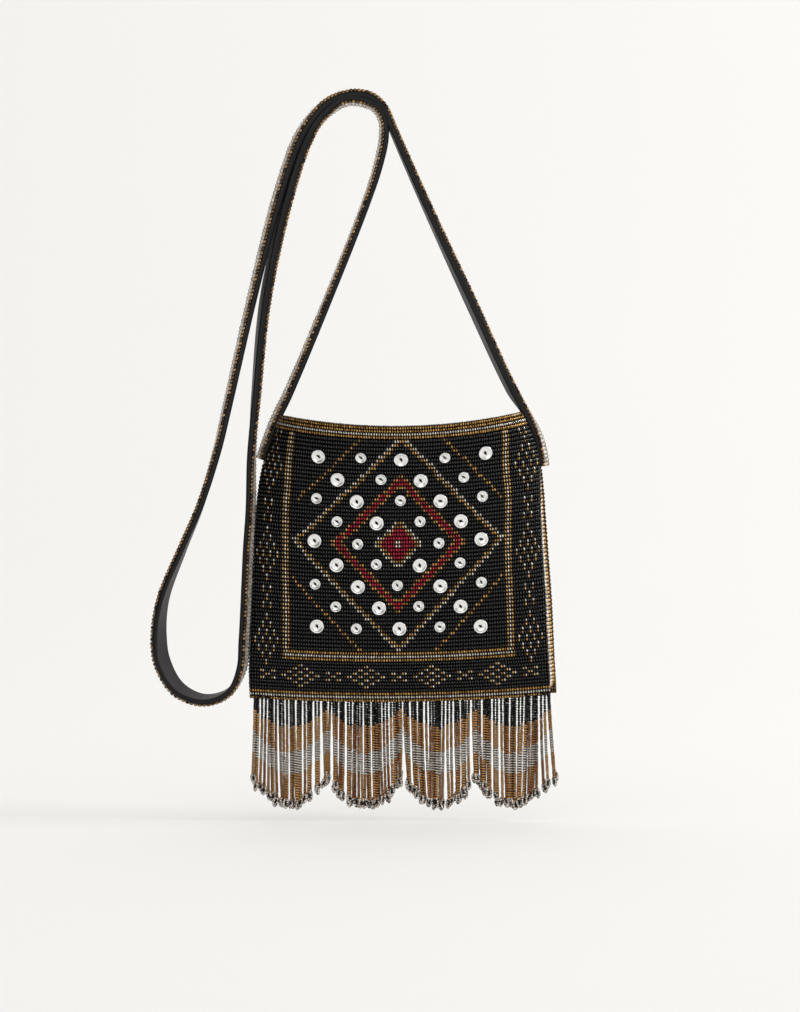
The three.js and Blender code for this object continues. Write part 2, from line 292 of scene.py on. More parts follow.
# How far the frame's left and right sides stray to the right at each drop
FRAME_STRAY = np.array((
    # drop, left side, right side
    (0, -2.4, -2.4),
    (12, -2.3, -2.9),
    (19, -2.1, -4.0),
    (26, -1.6, -4.2),
    (33, -1.1, -3.2),
    (40, -0.8, -2.1),
    (48, -1.0, -1.3),
    (75, -0.8, -1.0),
    (140, 0.0, 0.0),
))
# Bands of the field's nested lozenges, outward from the middle in steps of one half width and height
LOZENGES = (
    # from, to, tone
    (0.0, 0.12, SILVER),
    (0.12, 0.42, RED),
    (0.42, 0.53, GOLD),
    (0.53, 0.61, SILVER),
    (1.34, 1.43, GOLD),
    (1.43, 1.57, RED),
    (1.57, 1.66, GOLD),
    (2.41, 2.5, GOLD),
    (2.5, 2.59, SILVER),
    (3.41, 3.5, GOLD),
)
LOZENGE_HALF_WIDTH = 24.0
LOZENGE_HALF_HEIGHT = 25.4
FIELD_MIDDLE_DROP = 69.5

# Sewn discs
DISC_SEGMENTS = 28
# Share of the radius and height in millimetres, round the section from the hole
DISC_PROFILE = (
    (0.15, 0.18),
    (0.16, 0.42),
    (0.3, 0.5),
    (0.52, 0.5),
    (0.68, 0.66),
    (0.78, 0.98),
    (0.86, 1.16),
    (0.93, 1.16),
    (0.985, 1.0),
    (1.0, 0.72),
    (0.97, 0.4),
    (0.7, 0.1),
)
STITCH_SIZE = (2.7, 0.8, 0.75)
STITCH_HEIGHT = 0.72
# Turn of the stitches from level, in radians: mean and spread
STITCH_SLANT = (0.8, 0.25)

# Camera, floor and light
VIEW_CENTRE = (0.0259, 0.0, -0.2345)
VIEW_DISTANCE = 1.8
VIEW_ELEVATION = 1.8
VIEW_LENS = 109.2
SENSOR_HEIGHT = 36.0
CLIP_END = 50.0
FLOOR_Z = -0.419
FLOOR_FRONT = -6.0
FLOOR_BACK = 2.2
FLOOR_HEIGHT = 6.0
FLOOR_HALF_WIDTH = 7.0
SWEEP_RADIUS = 1.2
SWEEP_STEPS = 24
WORLD_TONE = (1.0, 0.997, 0.988, 1)
WORLD_STRENGTH = 0.6
LIGHTS = (
    # name, place, aim, width and height, power, tone
    ("front", (0.2, -3.6, 0.3), VIEW_CENTRE, (2.8, 2.8), 62, (1.0, 0.99, 0.975)),
    ("top", (0.5, -1.4, 3.0), (0.1, 0.4, -0.4), (3.0, 3.0), 6, (1.0, 0.995, 0.985)),
    ("key", (3.0, -0.2, 1.3), VIEW_CENTRE, (1.2, 1.2), 76, (1.0, 0.99, 0.97)),
    ("backdrop", (0.0, 0.7, 2.4), (0.0, 2.2, 0.2), (3.0, 1.0), 8, (1.0, 0.995, 0.985)),
)
GLOSS_LIGHT = "front"

chance = np.random.default_rng(SEED)


# Shapes of the pouch


def pouch_column(drop, name):
    """One column of the pouch's sections at any drop, by cubic steps between its rows."""
    drops = POUCH["drop"]
    values = POUCH[name]
    inner = (values[2:] - values[:-2]) / (drops[2:] - drops[:-2])
    first = (values[1] - values[0]) / (drops[1] - drops[0])
    last = (values[-1] - values[-2]) / (drops[-1] - drops[-2])
    slopes = np.concatenate(((first,), inner, (last,)))
    row = np.clip(np.searchsorted(drops, drop) - 1, 0, len(drops) - 2)
    span = drops[row + 1] - drops[row]
    t = (drop - drops[row]) / span
    ease = t * t * (3 - 2 * t)
    leave = t * (1 - t) ** 2 * span * slopes[row]
    arrive = t * t * (t - 1) * span * slopes[row + 1]
    return values[row] + (values[row + 1] - values[row]) * ease + leave + arrive


def row_height(drop, across):
    """Height of a row of beads at a place across it, from -1 at the left to 1 at the right."""
    sag = ROW_SAG_MOUTH + (ROW_SAG_BASE - ROW_SAG_MOUTH) * drop / POUCH_HEIGHT
    return MOUTH_Z - drop - sag * (1 - across * across) + ROW_TILT * across


def base_height(x):
    """Height of the pouch's lower edge under a place across it."""
    across = np.clip((x - POUCH["middle"][-1]) / POUCH["half"][-1], -1, 1)
    return row_height(POUCH_HEIGHT, across)


def panel_section(face, drop, inset, shares):
    """Points of a panel at one drop, left to right, at the given shares of the way round."""
    angle = np.linspace(math.pi, 0, SECTION_SAMPLES)
    across = np.cos(angle)
    flare = pouch_column(drop, "flare") / 2 if face == "back" else 0.0
    depth = pouch_column(drop, face)
    half = pouch_column(drop, "half") + flare - inset * depth / POUCH[face][0] / 2
    depth = depth - inset
    side = 1 if face == "back" else -1
    x = pouch_column(drop, "middle") + flare + half * across
    y = side * (GUSSET_WIDTH / 2 + SEAM_GAP + depth * np.sin(angle))
    z = row_height(drop, across)
    way = np.concatenate(((0,), np.cumsum(np.hypot(np.diff(x), np.diff(y)))))
    at = shares * way[-1]
    return np.stack([np.interp(at, way, values) for values in (x, y, z)], axis=-1)


def unit(vectors):
    return vectors / np.linalg.norm(vectors, axis=-1, keepdims=True)


# Meshes


def mesh_piece(name, points, face_groups, material, values=None):
    """One smooth piece of the bag, from points in millimetres and groups of faces of equal size."""
    mesh = bpy.data.meshes.new(name)
    corners = np.concatenate([group.ravel() for group in face_groups]).astype(np.int32)
    sizes = np.concatenate([np.full(len(group), group.shape[1]) for group in face_groups])
    starts = np.concatenate(((0,), np.cumsum(sizes)[:-1])).astype(np.int32)
    mesh.vertices.add(len(points))
    mesh.vertices.foreach_set("co", (points * MM).astype(np.float32).ravel())
    mesh.loops.add(len(corners))
    mesh.loops.foreach_set("vertex_index", corners)
    mesh.polygons.add(len(sizes))
    mesh.polygons.foreach_set("loop_start", starts)
    mesh.polygons.foreach_set("use_smooth", np.ones(len(sizes), bool))
    for word, numbers in (values or {}).items():
        layer = mesh.attributes.new(word, "FLOAT", "POINT")
        layer.data.foreach_set("value", numbers.astype(np.float32))
    mesh.update(calc_edges=True)
    mesh.materials.append(material)
    piece = bpy.data.objects.new(name, mesh)
    bpy.context.collection.objects.link(piece)
    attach(piece, "root")
    return piece


def bead_template(sides, end):
    """Shares along, outward and sideways of a bead's points, and its faces: a barrel with flat ends."""
    rings = ((-0.5, end), (0.0, 1.0), (0.5, end))
    turn = np.arange(sides) * 2 * math.pi / sides
    along = np.repeat([place for place, _ in rings], sides)
    reach = np.repeat([radius for _, radius in rings], sides)
    outward = reach * np.tile(np.cos(turn), len(rings))
    sideways = reach * np.tile(np.sin(turn), len(rings))
    corner = np.arange(sides)
    after = (corner + 1) % sides
    bands = []
    for ring in range(len(rings) - 1):
        low = ring * sides
        high = low + sides
        bands.append(np.stack((low + corner, low + after, high + after, high + corner), axis=1))
    caps = np.stack((corner[::-1], corner + sides * (len(rings) - 1)))
    return along, outward, sideways, np.concatenate(bands), caps


def beads(name, spots, material, sides=6, end=BEAD_END, shade=(1.0, 1.0)):
    """Many beads as one piece. Each spot holds a middle, an axis, an outward direction and sizes.

    Shade says how far painted shade darkens the ends and the sides.
    """
    along, outward, sideways, bands, caps = bead_template(sides, end)
    middle, axis, normal, sizes = (spots[key] for key in ("middle", "axis", "normal", "sizes"))
    normal = unit(normal - axis * np.sum(normal * axis, axis=-1, keepdims=True))
    side = np.cross(axis, normal)
    points = middle[:, None, :] + (
        axis[:, None, :] * (along[None, :, None] * sizes[:, None, 0:1])
        + normal[:, None, :] * (outward[None, :, None] * sizes[:, None, 1:2] / 2)
        + side[:, None, :] * (sideways[None, :, None] * sizes[:, None, 2:3] / 2)
    )
    first = np.arange(len(middle)) * len(along)
    groups = [
        (first[:, None, None] + bands[None]).reshape(-1, 4),
        (first[:, None, None] + caps[None]).reshape(-1, sides),
    ]
    tint = spots["tint"] if "tint" in spots else chance.random(len(middle))
    # Painted shade: 'edge' grows towards each bead's ends and sides, where the material darkens the bead
    edge = np.maximum(np.abs(along) * 2 * shade[0], np.abs(sideways) * shade[1])
    values = {"tint": np.repeat(tint, len(along)), "edge": np.tile(edge, len(middle))}
    return mesh_piece(name, points.reshape(-1, 3), groups, material, values)


def pick(spots, mask):
    return {key: value[mask] for key, value in spots.items()}


def jitter(spots, shift, tilt, spread):
    """Hand-woven unevenness: each bead a little off its place, turned and sized differently."""
    count = len(spots["middle"])
    axis = unit(spots["axis"] + chance.normal(0, tilt, (count, 3)))
    return {
        **spots,
        "middle": spots["middle"] + chance.normal(0, shift, (count, 3)),
        "axis": axis,
        "sizes": spots["sizes"] * (1 + chance.normal(0, spread, (count, 3)).clip(-SIZE_LIMIT, SIZE_LIMIT)),
    }


def wall_faces(rows, columns):
    """Faces of a closed wall between an outer and an inner grid of points."""
    def at(layer, row, column):
        return (layer * rows + row) * columns + column

    row, column = (part.ravel() for part in np.mgrid[0:rows - 1, 0:columns - 1])
    cell = ((row, column), (row + 1, column), (row + 1, column + 1), (row, column + 1))
    faces = [
        np.stack([at(0, r, c) for r, c in cell], axis=1),
        np.stack([at(1, r, c) for r, c in cell[::-1]], axis=1),
    ]
    rim_row = np.arange(rows - 1)
    rim_column = np.arange(columns - 1)
    right = columns - 1
    base = rows - 1
    for a, b, fixed in ((rim_row + 1, rim_row, 0), (rim_row, rim_row + 1, right)):
        faces.append(np.stack((at(0, a, fixed), at(0, b, fixed), at(1, b, fixed), at(1, a, fixed)), axis=1))
    for a, b, fixed in ((rim_column, rim_column + 1, 0), (rim_column + 1, rim_column, base)):
        faces.append(np.stack((at(0, fixed, a), at(0, fixed, b), at(1, fixed, b), at(1, fixed, a)), axis=1))
    return np.concatenate(faces)


def wall_piece(name, outer, inner, material, slot, flip=False):
    """A closed wall between an outer and an inner grid of points."""
    rows, columns, _ = outer.shape
    faces = wall_faces(rows, columns)
    points = np.concatenate((outer.reshape(-1, 3), inner.reshape(-1, 3)))
    return mesh_piece(name, points, [faces[:, ::-1] if flip else faces], material)


def tube_piece(name, rings, material, values=None):
    """A closed bar through rings of points."""
    count, corners, _ = rings.shape
    ring, corner = (part.ravel() for part in np.mgrid[0:count - 1, 0:corners])
    here = ring * corners + corner
    beside = ring * corners + (corner + 1) % corners
    sides = np.stack((here, beside, beside + corners, here + corners), axis=1)
    ends = np.stack((np.arange(corners)[::-1], np.arange(corners) + (count - 1) * corners))
    return mesh_piece(name, rings.reshape(-1, 3), [sides, ends], material, values)


# Materials


def new_material(name):
    material = bpy.data.materials.new(name)
    material.use_nodes = True
    tree = material.node_tree
    return material, tree.nodes, tree.links, tree.nodes["Principled BSDF"]


def two_tones(nodes, links, source, dark, light):
    """A colour between two tones, led by a value from 0 to 1."""
    ramp = nodes.new("ShaderNodeValToRGB")
    ramp.color_ramp.elements[0].color = (*dark, 1)
    ramp.color_ramp.elements[1].color = (*light, 1)
    links.new(source, ramp.inputs["Fac"])
    return ramp.outputs["Color"]


def between(nodes, links, source, low, high):
    """A value from low to high, led by a value from 0 to 1."""
    span = nodes.new("ShaderNodeMapRange")
    span.inputs["To Min"].default_value = low
    span.inputs["To Max"].default_value = high
    links.new(source, span.inputs["Value"])
    return span.outputs["Result"]


def noise(nodes, links, scale, detail):
    """Cloudy noise in the bag's own frame."""
    place = nodes.new("ShaderNodeTexCoord")
    cloud = nodes.new("ShaderNodeTexNoise")
    cloud.inputs["Scale"].default_value = scale
    cloud.inputs["Detail"].default_value = detail
    links.new(place.outputs["Object"], cloud.inputs["Vector"])
    return cloud.outputs["Fac"]


def carried_value(nodes, word):
    """A number that every point of a mesh carries."""
    value = nodes.new("ShaderNodeAttribute")
    value.attribute_name = word
    return value.outputs["Fac"]


def bead_material(name, dark, light, metallic, rough, shine=0.5, painted_glow=0.0):
    """Glass or metal-coated glass, each bead in its own tone and gloss, with painted shade that darkens it
    and dims its gloss towards its edges.

    Beads given a glow give off a little painted light, which brightens them where the lamps leave them
    dark.
    """
    material, nodes, links, shader = new_material(name)
    tint = carried_value(nodes, "tint")
    # Painted shade: colour and gloss darken as the carried 'edge' value grows
    shade = nodes.new("ShaderNodeMapRange")
    shade.interpolation_type = "SMOOTHSTEP"
    shade.inputs["From Min"].default_value = BEAD_SHADE_FROM
    shade.inputs["To Min"].default_value = 1.0
    shade.inputs["To Max"].default_value = BEAD_SHADE_TO
    links.new(carried_value(nodes, "edge"), shade.inputs["Value"])
    shaded = nodes.new("ShaderNodeMix")
    shaded.data_type = "RGBA"
    shaded.blend_type = "MULTIPLY"
    shaded.inputs["Factor"].default_value = 1.0
    colours = [socket for socket in shaded.inputs if socket.type == "RGBA"]
    result = [socket for socket in shaded.outputs if socket.type == "RGBA"]
    links.new(two_tones(nodes, links, tint, dark, light), colours[0])
    links.new(shade.outputs["Result"], colours[1])
    links.new(result[0], shader.inputs["Base Color"])
    # Painted light: the bead gives off its own colour as a glow
    if painted_glow > 0:
        links.new(result[0], shader.inputs["Emission Color"])
        shader.inputs["Emission Strength"].default_value = painted_glow
    links.new(between(nodes, links, tint, *rough), shader.inputs["Roughness"])
    gloss = between(nodes, links, shade.outputs["Result"], 0.0, shine)
    links.new(gloss, shader.inputs["Specular IOR Level"])
    shader.inputs["Metallic"].default_value = metallic
    return material


def leather_material():
    """Smooth black leather with a fine pebbled grain, and a painted sheen that makes its inner face lighter
    than its edges.
    """
    material, nodes, links, shader = new_material("leather")
    wear_and_sheen = noise(nodes, links, scale=60, detail=4)
    # Painted sheen: the carried 'face' value lightens the inner face, mottled by noise
    tone = nodes.new("ShaderNodeMath")
    tone.operation = "MULTIPLY"
    links.new(carried_value(nodes, "face"), tone.inputs[0])
    links.new(between(nodes, links, wear_and_sheen, 0.5, 1.0), tone.inputs[1])
    colour = two_tones(nodes, links, tone.outputs["Value"], (0.008, 0.007, 0.0075), (0.055, 0.05, 0.053))
    links.new(colour, shader.inputs["Base Color"])
    links.new(between(nodes, links, wear_and_sheen, 0.38, 0.6), shader.inputs["Roughness"])
    shader.inputs["Specular IOR Level"].default_value = 0.2
    place = nodes.new("ShaderNodeTexCoord")
    grain = nodes.new("ShaderNodeTexVoronoi")
    grain.inputs["Scale"].default_value = 1400
    bump = nodes.new("ShaderNodeBump")
    bump.inputs["Strength"].default_value = 0.25
    bump.inputs["Distance"].default_value = 0.0003
    links.new(place.outputs["Object"], grain.inputs["Vector"])
    links.new(grain.outputs["Distance"], bump.inputs["Height"])
    links.new(bump.outputs["Normal"], shader.inputs["Normal"])
    return material


def cloth_material():
    """Black woven backing, seen inside the pouch and at its rim."""
    material, nodes, links, shader = new_material("backing_cloth")
    place = nodes.new("ShaderNodeTexCoord")
    weave = nodes.new("ShaderNodeTexWave")
    weave.inputs["Scale"].default_value = 420
    weave.inputs["Distortion"].default_value = 1.5
    links.new(place.outputs["Object"], weave.inputs["Vector"])
    colour = two_tones(nodes, links, weave.outputs["Fac"], (0.008, 0.008, 0.009), (0.022, 0.021, 0.023))
    links.new(colour, shader.inputs["Base Color"])
    bump = nodes.new("ShaderNodeBump")
    bump.inputs["Strength"].default_value = 0.3
    bump.inputs["Distance"].default_value = 0.0003
    links.new(weave.outputs["Fac"], bump.inputs["Height"])
    links.new(bump.outputs["Normal"], shader.inputs["Normal"])
    shader.inputs["Roughness"].default_value = 0.85
    return material


def disc_material():
    """Bright stamped metal with a lightly handled surface."""
    material, nodes, links, shader = new_material("silver_disc")
    handling = noise(nodes, links, scale=700, detail=3)
    colour = two_tones(nodes, links, handling, (0.78, 0.775, 0.76), (0.97, 0.97, 0.955))
    links.new(colour, shader.inputs["Base Color"])
    links.new(between(nodes, links, handling, 0.22, 0.4), shader.inputs["Roughness"])
    shader.inputs["Metallic"].default_value = 0.65
    return material


def floor_material():
    """Plain pale studio paper, giving off a little light so that shadows on it stay faint."""
    material, nodes, links, shader = new_material("pale_paper")
    mottle = noise(nodes, links, scale=3, detail=2)
    colour = two_tones(nodes, links, mottle, (0.445, 0.443, 0.435), (0.455, 0.452, 0.444))
    links.new(colour, shader.inputs["Base Color"])
    shader.inputs["Roughness"].default_value = 0.9
    shader.inputs["Specular IOR Level"].default_value = 0.1
    shader.inputs["Emission Color"].default_value = (1.0, 0.992, 0.972, 1)
    shader.inputs["Emission Strength"].default_value = 0.45
    return material


BLACK_BEADS = bead_material(
    "black_beads", (0.002, 0.002, 0.002), (0.006, 0.006, 0.007),
    metallic=0.0, rough=(0.18, 0.32), shine=0.7,
)
STRAND_BLACK_BEADS = bead_material(
    "strand_black_beads", (0.003, 0.003, 0.003), (0.01, 0.009, 0.01),
    metallic=0.0, rough=(0.2, 0.35),
)
GOLD_BEADS = bead_material(
    "gold_beads", (0.3, 0.15, 0.04), (0.8, 0.47, 0.16),
    metallic=0.85, rough=(0.26, 0.44),
)
STRAP_BEADS = bead_material(
    "strap_beads", (0.05, 0.02, 0.008), (0.55, 0.33, 0.15),
    metallic=0.6, rough=(0.24, 0.42),
)
SILVER_BEADS = bead_material(
    "silver_beads", (0.5, 0.46, 0.38), (0.95, 0.9, 0.8),
    metallic=0.8, rough=(0.26, 0.44),
)
RED_BEADS = bead_material(
    "red_beads", (0.36, 0.008, 0.03), (0.66, 0.025, 0.065),
    metallic=0.2, rough=(0.24, 0.4),
)
TAPE_SILVER_BEADS = bead_material(
    "tape_silver_beads", (0.4, 0.37, 0.33), (0.85, 0.81, 0.74),
    metallic=0.3, rough=(0.26, 0.44),
)
# The strap's silver beads: darker than the gusset's, and glowing with painted light that brightens them
# where the lamps leave them dark, such as beside the pouch
STRAP_SILVER_BEADS = bead_material(
    "strap_silver_beads", (0.2, 0.186, 0.168), (0.52, 0.495, 0.45),
    metallic=0.3, rough=(0.26, 0.44), painted_glow=0.5,
)
BRONZE_BEADS = bead_material(
    "bronze_beads", (0.38, 0.12, 0.03), (1.0, 0.54, 0.19),
    metallic=0.37, rough=(0.28, 0.46),
)
TAUPE_BEADS = bead_material(
    "taupe_beads", (0.62, 0.5, 0.42), (1.0, 0.93, 0.84),
    metallic=0.3, rough=(0.26, 0.44),
)
THREAD = bead_material(
    "black_thread", (0.006, 0.006, 0.007), (0.02, 0.02, 0.022),
    metallic=0.0, rough=(0.7, 0.9), shine=0.1,
)
LEATHER = leather_material()
CLOTH = cloth_material()
DISC_METAL = disc_material()
TONES = {
    BLACK: ("black", BLACK_BEADS, "black_beads"),
    GOLD: ("gold", GOLD_BEADS, "gold_beads"),
    SILVER: ("silver", SILVER_BEADS, None),
    RED: ("red", RED_BEADS, None),
}


# Bead charts: the place of each bead along its row, and its tone


def row_drops():
    """Drop of each bead row, with shallower rows in the base border than in the field."""
    top = TOP_FIRST_DROP + TOP_PITCH * np.arange(TOP_ROWS)
    field = FIELD_FIRST_DROP + FIELD_PITCH * np.arange(FIELD_ROWS)
    base = BASE_FIRST_DROP + BASE_PITCH * np.arange(BASE_ROWS)
    return np.concatenate((top, field, base))


def lying_motif(middle, counts):
    """Runs of a base motif: gold and silver side by side, one line of pairs for each count."""
    runs = []
    for row, count in enumerate(counts, start=BASE_SPINE - len(counts) // 2):
        for pair in range(count):
            place = middle + PAIR_STEP * (pair - (count - 1) / 2)
            runs.append((row, place - COLUMN_PITCH / 2, (GOLD, SILVER)))
    return runs


def upright_motif(spine, middle_row, counts):
    """Runs of a side motif: silver above gold, one upright line of pairs for each count."""
    runs = []
    for line, count in enumerate(counts):
        place = spine + LINE_STEP * (line - len(counts) // 2)
        first = middle_row - 1 - 2 * (count - 1)
        for row in range(first, first + 4 * count, 4):
            runs.append((row, place, (SILVER,)))
            runs.append((row + 1, place, (GOLD,)))
    return runs


def border_runs():
    """Every run of coloured beads in the front's borders: row, place of its first bead, and tones."""
    runs = []
    for middle in BASE_DIAMONDS:
        runs += lying_motif(middle, DIAMOND)
    for middle in BASE_CROSSES:
        runs += lying_motif(middle, CROSS)
    for spine in (-SIDE_SPINE, SIDE_SPINE):
        for row in SIDE_DIAMONDS:
            runs += upright_motif(spine, row, DIAMOND)
        for row in SIDE_CROSSES:
            runs += upright_motif(spine, row, CROSS)
    for row in range(TOP_ROWS, TOP_ROWS + FIELD_ROWS):
        for side in (-1, 1):
            start = FRAME_COLUMN if side > 0 else -FRAME_COLUMN - 2
            runs.append((row, start * COLUMN_PITCH, FRAME_LINES))
    return runs


def plain_chart():
    """Black rows with gold and silver ones along the mouth and along the base."""
    index = np.arange(BEAD_COLUMNS) - (BEAD_COLUMNS - 1) / 2
    places = np.tile(index * COLUMN_PITCH, (ROWS, 1))
    tones = np.full((ROWS, BEAD_COLUMNS), BLACK)
    for first, lines in ((0, MOUTH_LINES), (ROWS - len(BASE_LINES), BASE_LINES)):
        for row, tone in enumerate(lines, start=first):
            tones[row] = tone
    return places, tones


def back_chart():
    """The plain rows between gold edge columns."""
    places, tones = plain_chart()
    tones[:, (0, -1)] = GOLD
    return places, tones


def front_chart():
    """Borders of diamonds and crosses round a field of nested lozenges."""
    places, tones = plain_chart()
    field = slice(TOP_ROWS, TOP_ROWS + FIELD_ROWS)
    drops = row_drops()[field]
    inside = np.abs(places[field]) < (FRAME_COLUMN - 1) * COLUMN_PITCH
    level = (np.abs(places[field]) / LOZENGE_HALF_WIDTH
             + np.abs(drops - FIELD_MIDDLE_DROP)[:, None] / LOZENGE_HALF_HEIGHT)
    for low, high, tone in LOZENGES:
        tones[field][(level >= low) & (level < high) & inside] = tone
    for ring, tone in enumerate(FRAME_LINES):
        row = tones[TOP_ROWS + FIELD_ROWS + ring]
        for outer, outer_tone in enumerate(FRAME_LINES):
            row[np.isclose(np.abs(places[0]), (FRAME_COLUMN + outer) * COLUMN_PITCH)] = outer_tone
        row[np.abs(places[0]) < (FRAME_COLUMN + ring + COLUMN_SLACK) * COLUMN_PITCH] = tone
    lay_runs(places, tones)
    return places, tones


def lay_runs(places, tones):
    """Sets the borders' coloured beads at their places, and spreads the beads between them evenly."""
    runs = border_runs()
    index = np.arange(BEAD_COLUMNS)
    end = PANEL_LENGTH / 2
    for row, drop in enumerate(row_drops()):
        stray = [np.interp(drop, FRAME_STRAY[:, 0], FRAME_STRAY[:, side]) for side in (1, 2)]
        known = {-0.5: -end, BEAD_COLUMNS - 0.5: end}
        for _, middle, run in (found for found in runs if found[0] == row):
            reach = min(1.0, (end - abs(middle)) / (end - FRAME_COLUMN * COLUMN_PITCH))
            place = middle + stray[int(middle > 0)] * reach
            first = int(round(place / COLUMN_PITCH + (BEAD_COLUMNS - 1) / 2))
            for step, tone in enumerate(run):
                tones[row, first + step] = tone
                known[first + step] = place + step * COLUMN_PITCH
        order = sorted(known)
        places[row] = np.interp(index, order, [known[key] for key in order])


# Pieces of the bag


def panel_spots(face, places):
    """Where each bead of a panel sits, row by row from the mouth."""
    shares = places / PANEL_LENGTH + 0.5
    rows = zip(row_drops(), shares)
    middle = np.stack([panel_section(face, drop, BEAD_DEPTH / 2, row) for drop, row in rows])
    along = np.gradient(middle, axis=1)
    down = np.gradient(middle, axis=0)
    side = -1 if face == "back" else 1
    sizes = np.stack((
        np.linalg.norm(along, axis=-1) * BEAD_FILL,
        np.full(middle.shape[:2], BEAD_DEPTH),
        np.linalg.norm(down, axis=-1) / SIX_SIDED_REACH,
    ), axis=-1)
    normal = unit(side * np.cross(down, along))
    spots = {"middle": middle, "axis": unit(along), "normal": normal, "sizes": sizes}
    return {key: value.reshape(-1, 3) for key, value in spots.items()}


def panel(face, chart):
    """A cloth backing and one layer of beads over it."""
    places, tones = chart
    shares = np.linspace(0, 1, BACKING_STEPS + 1)
    drops = np.linspace(BACKING_TOP, POUCH_HEIGHT, BACKING_STEPS)
    grids = [
        np.stack([panel_section(face, drop, inset, shares) for drop in drops])
        for inset in (BACKING_INSET, PANEL_WALL)
    ]
    backing = wall_piece(face + "_backing", *grids, CLOTH, None, flip=face == "back")
    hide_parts(face + "_panel")
    spots = jitter(panel_spots(face, places), *PANEL_JITTER)
    row = np.repeat(np.arange(ROWS), BEAD_COLUMNS)
    for tone, (word, material, slot) in TONES.items():
        for part, rows in (("upper", row < ROWS // 2), ("lower", row >= ROWS // 2)):
            mask = (tones.ravel() == tone) & rows
            if mask.any():
                name = f"{face}_{word}_beads_{part}"
                beads(name, pick(spots, mask), material, PANEL_SIDES[face], shade=PANEL_SHADE)


def tape_beads(name, edge_a, edge_b, outward, inset, depth, rim, rim_material, middle_material):
    """Rows of six beads across a tape, gold for some columns at each edge and silver between."""
    along = unit(np.gradient(edge_a + edge_b, axis=0))
    width = np.linalg.norm(edge_b - edge_a, axis=-1)
    shares = (np.arange(TAPE_COLUMNS) + 0.5) / TAPE_COLUMNS
    middle = edge_a[:, None] + (edge_b - edge_a)[:, None] * shares[None, :, None]
    middle = middle - outward[:, None] * inset
    axis = np.broadcast_to(unit(edge_b - edge_a)[:, None], middle.shape)
    normal = np.broadcast_to(outward[:, None], middle.shape)
    step = np.linalg.norm(np.gradient((edge_a + edge_b) / 2, axis=0), axis=-1)
    sizes = np.stack((
        width / TAPE_COLUMNS * TAPE_FILL,
        np.full(len(width), depth),
        step / SIX_SIDED_REACH,
    ), axis=-1)
    sizes = np.broadcast_to(sizes[:, None], middle.shape)
    spots = {"middle": middle, "axis": axis, "normal": normal, "sizes": sizes}
    spots = jitter({key: value.reshape(-1, 3) for key, value in spots.items()}, *TAPE_JITTER)
    column = np.tile(np.arange(TAPE_COLUMNS), len(along))
    edge = (column < rim) | (column >= TAPE_COLUMNS - rim)
    rim_name = name + "_gold_beads"
    beads(rim_name, pick(spots, edge), rim_material, end=TAPE_BEAD_END, shade=TAPE_SHADE)
    middle_name = name + "_silver_beads"
    beads(middle_name, pick(spots, ~edge), middle_material, end=TAPE_BEAD_END, shade=TAPE_SILVER_SHADE)


def evenly(points, pitch):
    """Points along a path at an even pitch."""
    way = np.concatenate(((0,), np.cumsum(np.linalg.norm(np.diff(points[:, :3], axis=0), axis=1))))
    count = max(int(way[-1] / pitch), 2)
    at = (np.arange(count) + 0.5) * way[-1] / count
    return np.stack([np.interp(at, way, column) for column in points.T], axis=-1)


def gusset_edge(back):
    """The tape's outer edge: down the left side, along the base and up the right side."""
    drop = np.linspace(0, POUCH_HEIGHT, GUSSET_SAMPLES)
    sweep = np.linspace(-1, 1, GUSSET_SAMPLES)
    across = np.concatenate((np.full_like(drop, -1), sweep, np.full_like(drop, 1)))
    drops = np.concatenate((drop, np.full_like(sweep, POUCH_HEIGHT), drop[::-1]))
    flare = pouch_column(drops, "flare") / 2 if back else 0.0
    x = pouch_column(drops, "middle") + flare + (pouch_column(drops, "half") + flare) * across
    y = np.full_like(x, GUSSET_WIDTH / 2 if back else -GUSSET_WIDTH / 2)
    return np.stack((x, y, row_height(drops, across)), axis=-1)


def round_off(points):
    """Softens the corners of a path and keeps its ends."""
    window = np.ones(GUSSET_ROUNDING) / GUSSET_ROUNDING
    reach = GUSSET_ROUNDING // 2
    padded = np.pad(points, ((reach, reach), (0, 0)), mode="reflect", reflect_type="odd")
    return np.stack([np.convolve(column, window, mode="valid") for column in padded.T], axis=-1)


def gusset():
    """A cloth tape between the panels, with a beaded outer face."""
    near, far = (gusset_edge(back) for back in (False, True))
    both = evenly(np.concatenate((near, far), axis=1), TAPE_PITCH)
    both = round_off(both)
    near, far = both[:, :3], both[:, 3:]
    along = unit(np.gradient(near + far, axis=0))
    outward = unit(np.cross(far - near, along))
    outer = np.stack((near, far), axis=1) - outward[:, None] * GUSSET_CLOTH_INSET
    inner = np.stack((near, far), axis=1) - outward[:, None] * GUSSET_WALL
    tape = wall_piece("gusset_tape", outer, inner, CLOTH, None)
    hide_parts("gusset")
    inset = TAPE_BEAD_DEPTH / 2 + GUSSET_INSET
    free = near[:, 2] < GUSSET_BEADS_TOP
    tape_beads("gusset", near[free], far[free], outward[free], inset, TAPE_BEAD_DEPTH,
               GUSSET_RIM, GOLD_BEADS, TAPE_SILVER_BEADS)


